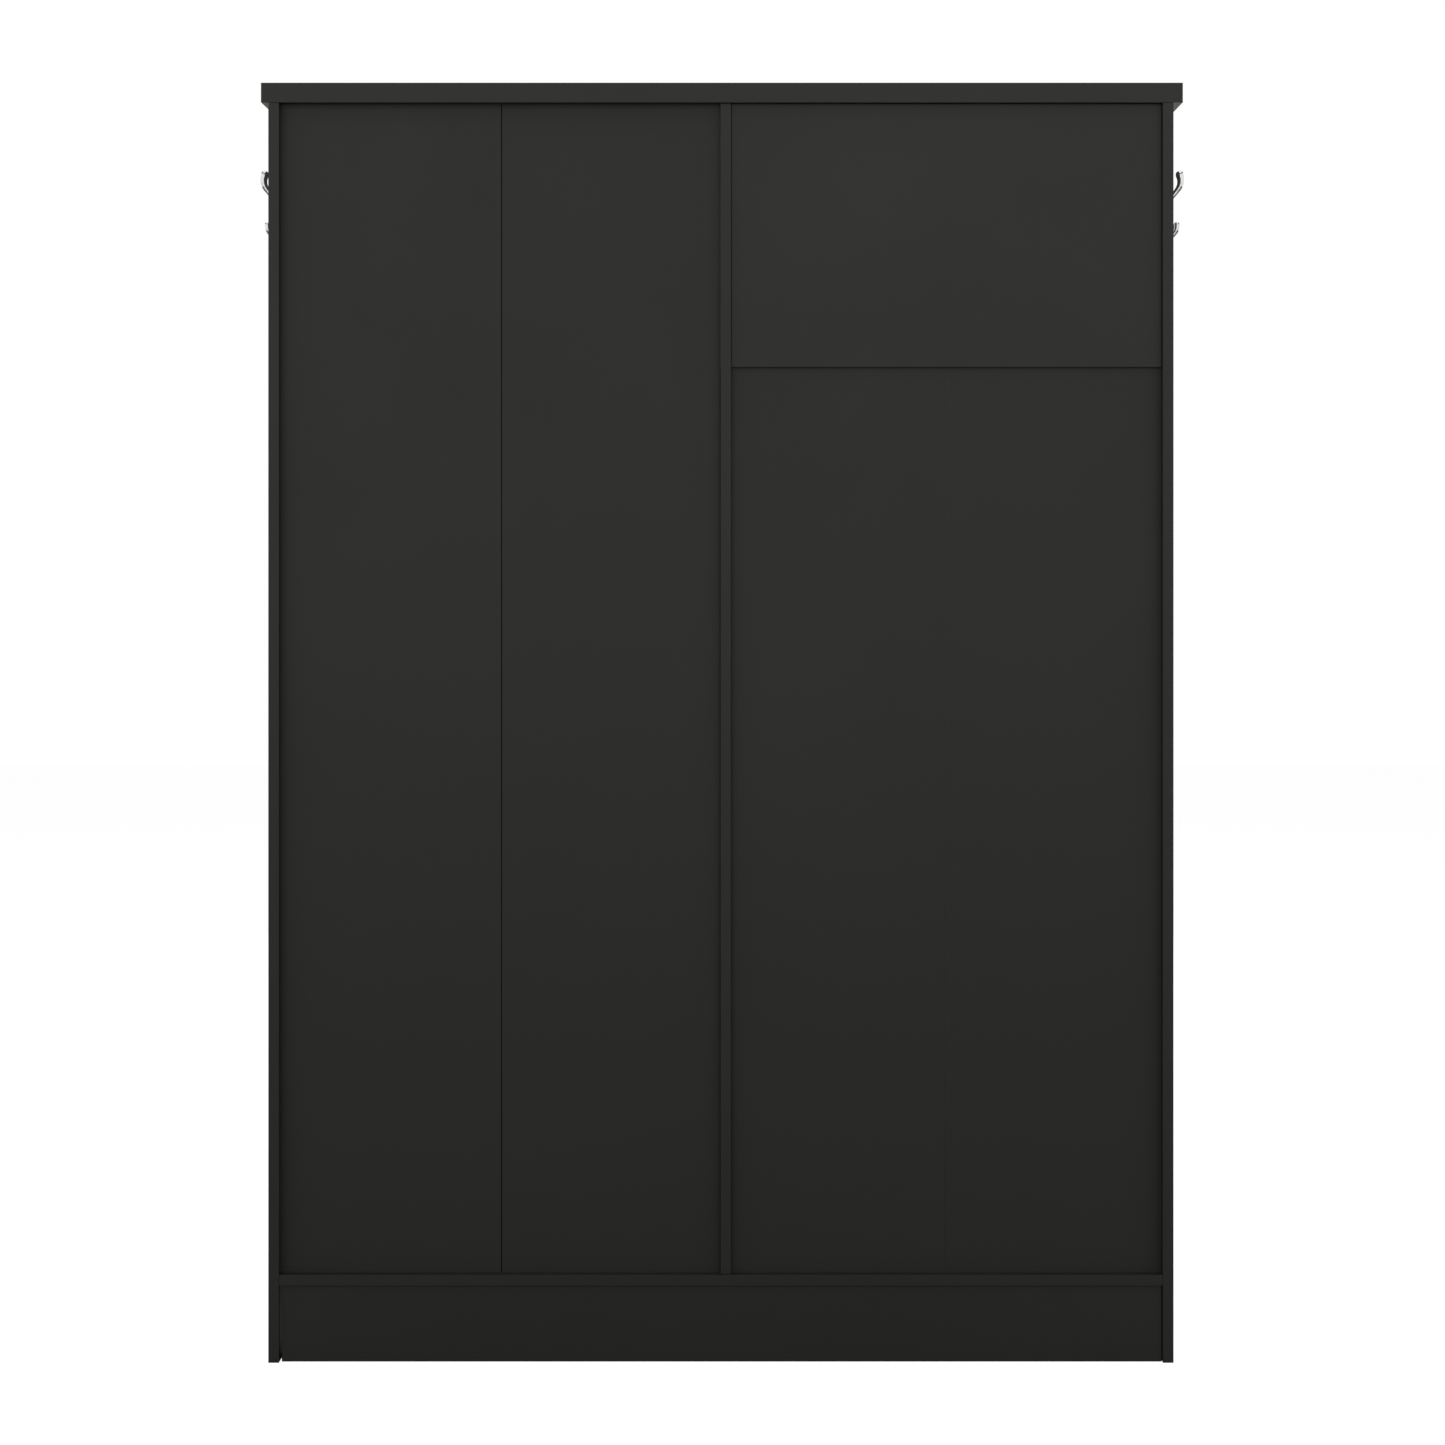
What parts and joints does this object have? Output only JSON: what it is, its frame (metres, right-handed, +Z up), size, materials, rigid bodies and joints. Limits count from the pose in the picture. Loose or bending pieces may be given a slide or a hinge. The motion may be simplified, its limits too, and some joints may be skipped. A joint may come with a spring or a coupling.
{
  "type": "wardrobe with doors",
  "caption": "Tall free-standing wardrobe with hinged doors, shelves behind one pair, a hanging rod and a top cubby behind the other, and a coat hook on each side.",
  "frame": {"origin": "on the floor, at the middle of the whole object's width and depth", "axes": "+Z up, -Y out through the doors, +Y out through the back, +X to the right when facing the doors"},
  "size_m": [1.3806, 0.5466, 1.803],
  "materials": {
    "board": "matt black melamine-faced chipboard with matching edge band",
    "back_panel": "thin fibreboard with a plain matt black face",
    "rod_tube": "bright plated steel tube",
    "socket_nickel": "nickel-plated cast metal",
    "hook_chrome": "polished chrome plate over a casting",
    "handle_chrome": "satin chrome plate",
    "hinge_steel": "nickel-plated pressed steel"
  },
  "bodies": {
    "carcass": {"top_panel": "board", "side_panel_left": "board", "side_panel_right": "board", "divider_panel": "board", "bottom_panel": "board", "fixed_shelf": "board", "upper_back_board": "board", "back_panel_left_outer": "back_panel", "back_panel_left_inner": "back_panel", "back_panel_right_outer": "back_panel", "back_panel_right_inner": "back_panel", "front_kick_board": "board", "rear_kick_board": "board", "plinth_brace": "board", "loose_shelf_1": "board", "loose_shelf_2": "board", "loose_shelf_3": "board", "loose_shelf_4": "board", "hanging_rod": "rod_tube", "rod_socket_left": "socket_nickel", "rod_socket_right": "socket_nickel", "coat_hook_left": "hook_chrome", "coat_hook_right": "hook_chrome", "hinge_arm_left_outer_1": "hinge_steel", "hinge_arm_left_outer_2": "hinge_steel", "hinge_arm_left_outer_3": "hinge_steel", "hinge_arm_left_inner_1": "hinge_steel", "hinge_arm_left_inner_2": "hinge_steel", "hinge_arm_left_inner_3": "hinge_steel", "hinge_arm_right_inner_1": "hinge_steel", "hinge_arm_right_inner_2": "hinge_steel", "hinge_arm_right_inner_3": "hinge_steel", "hinge_arm_right_outer_1": "hinge_steel", "hinge_arm_right_outer_2": "hinge_steel", "hinge_arm_right_outer_3": "hinge_steel"},
    "left_outer_door": {"door_left_outer": "board", "handle_left_outer": "handle_chrome", "hinge_cup_left_outer_1": "hinge_steel", "hinge_cup_left_outer_2": "hinge_steel", "hinge_cup_left_outer_3": "hinge_steel"},
    "left_inner_door": {"door_left_inner": "board", "handle_left_inner": "handle_chrome", "hinge_cup_left_inner_1": "hinge_steel", "hinge_cup_left_inner_2": "hinge_steel", "hinge_cup_left_inner_3": "hinge_steel"},
    "right_inner_door": {"door_right_inner": "board", "handle_right_inner": "handle_chrome", "hinge_cup_right_inner_1": "hinge_steel", "hinge_cup_right_inner_2": "hinge_steel", "hinge_cup_right_inner_3": "hinge_steel"},
    "right_outer_door": {"door_right_outer": "board", "handle_right_outer": "handle_chrome", "hinge_cup_right_outer_1": "hinge_steel", "hinge_cup_right_outer_2": "hinge_steel", "hinge_cup_right_outer_3": "hinge_steel"}
  },
  "joints": [
    {"name": "left_outer_door_hinge", "type": "hinge", "parent": "carcass", "child": "left_outer_door", "pos_m": [-0.6365, -0.25325, 0.941], "axis": [0, 0, -1], "range_deg": [0, 100]},
    {"name": "left_inner_door_hinge", "type": "hinge", "parent": "carcass", "child": "left_inner_door", "pos_m": [-0.0083, -0.25325, 0.941], "axis": [0, 0, 1], "range_deg": [0, 85]},
    {"name": "right_inner_door_hinge", "type": "hinge", "parent": "carcass", "child": "right_inner_door", "pos_m": [-0.0053, -0.25325, 0.941], "axis": [0, 0, -1], "range_deg": [0, 85]},
    {"name": "right_outer_door_hinge", "type": "hinge", "parent": "carcass", "child": "right_outer_door", "pos_m": [0.6365, -0.25325, 0.941], "axis": [0, 0, 1], "range_deg": [0, 100]}
  ]
}
